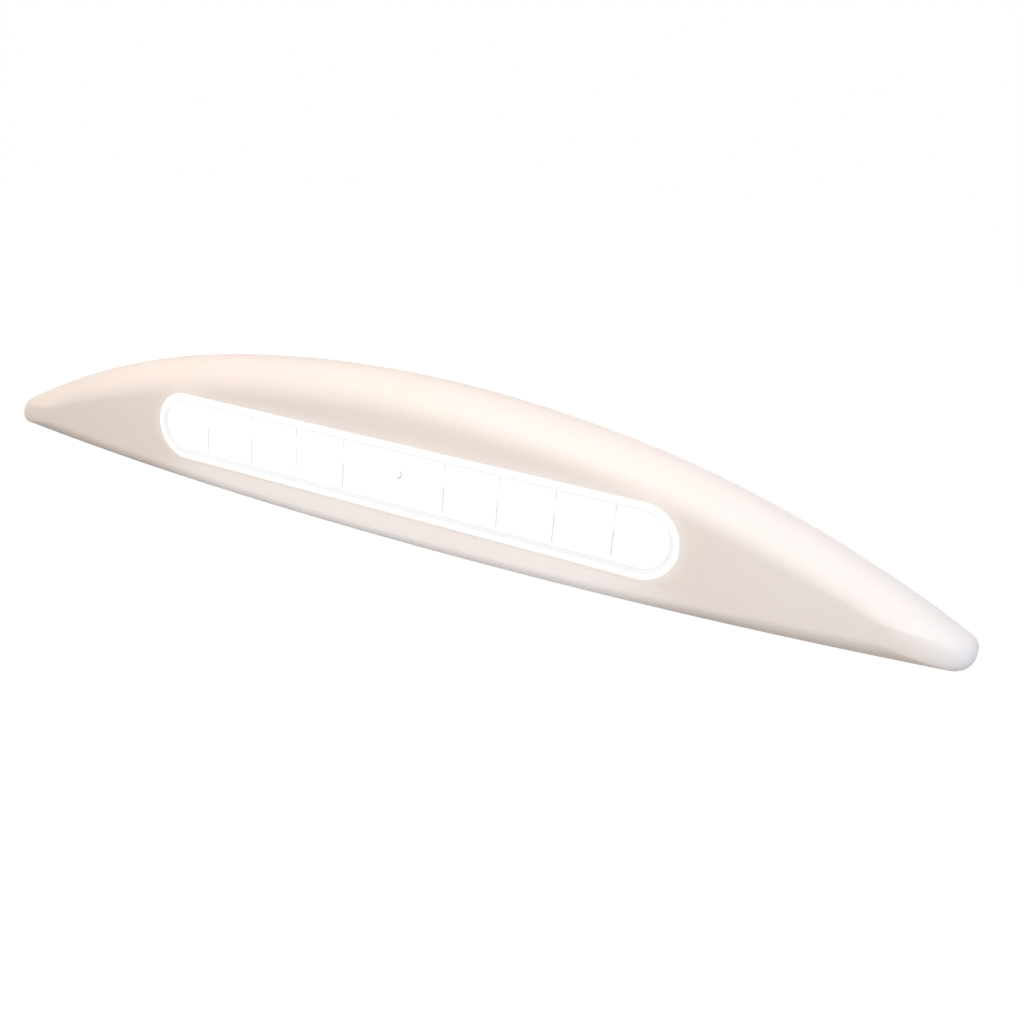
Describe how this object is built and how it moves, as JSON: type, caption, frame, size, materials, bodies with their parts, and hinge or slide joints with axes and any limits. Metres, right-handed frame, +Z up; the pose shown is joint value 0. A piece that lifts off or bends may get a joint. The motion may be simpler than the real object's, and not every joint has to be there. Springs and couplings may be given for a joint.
{
  "type": "awning light",
  "caption": "Slim crescent-shaped surface lamp with a long round-ended window over a row of light cells, screwed flat to a vehicle wall.",
  "frame": {"origin": "on the wall face at the back of the lamp, behind the middle of the window", "axes": "+X to the right as seen from the front, +Y into the vehicle's wall, +Z up; the lit face looks along -Y"},
  "size_m": [0.408, 0.016, 0.0616],
  "materials": {
    "cover_plastic": "satin off-white",
    "clear_lens": "clear, moulded acrylic",
    "seal_rubber": "matt",
    "reflector_white": "white",
    "screw_steel": "plain",
    "package_white": "white",
    "glowing_phosphor": "lit",
    "board_white": "solder mask",
    "pad_blue": "matt",
    "spreader_aluminium": "rolled sheet",
    "base_plastic": "moulded",
    "gasket_foam": "closed-cell foam",
    "grommet_rubber": "matt",
    "clamp_nylon": "moulded",
    "terminal_nylon": "moulded",
    "barrel_brass": "turned",
    "board_green": "solder mask",
    "component_black": "moulded",
    "core_grey": "ferrite",
    "can_aluminium": "drawn can",
    "socket_nylon": "moulded",
    "lead_red": "insulation",
    "lead_black": "insulation"
  },
  "bodies": {
    "root": {"housing": "cover_plastic", "lens": "clear_lens", "lens_seal": "seal_rubber", "reflector": "reflector_white", "reflector_screw": "screw_steel", "led_packages": "package_white", "led_phosphors": "glowing_phosphor", "led_board": "board_white", "thermal_pad": "pad_blue", "heat_spreader": "spreader_aluminium", "board_screws": "screw_steel", "base_plate": "base_plastic", "cover_seal": "seal_rubber", "wall_gasket": "gasket_foam", "cover_screws": "screw_steel", "cable_grommet": "grommet_rubber", "cable_clamp": "clamp_nylon", "clamp_screws": "screw_steel", "terminal_block": "terminal_nylon", "terminal_barrels": "barrel_brass", "terminal_screws": "screw_steel", "driver_board": "board_green", "driver_screws": "screw_steel", "driver_chip": "component_black", "inductor": "core_grey", "capacitors": "can_aluminium", "diodes": "component_black", "resistors": "component_black", "wire_sockets": "socket_nylon", "supply_lead_positive": "lead_red", "supply_lead_negative": "lead_black", "light_lead_positive": "lead_red", "light_lead_negative": "lead_black"}
  },
  "joints": []
}
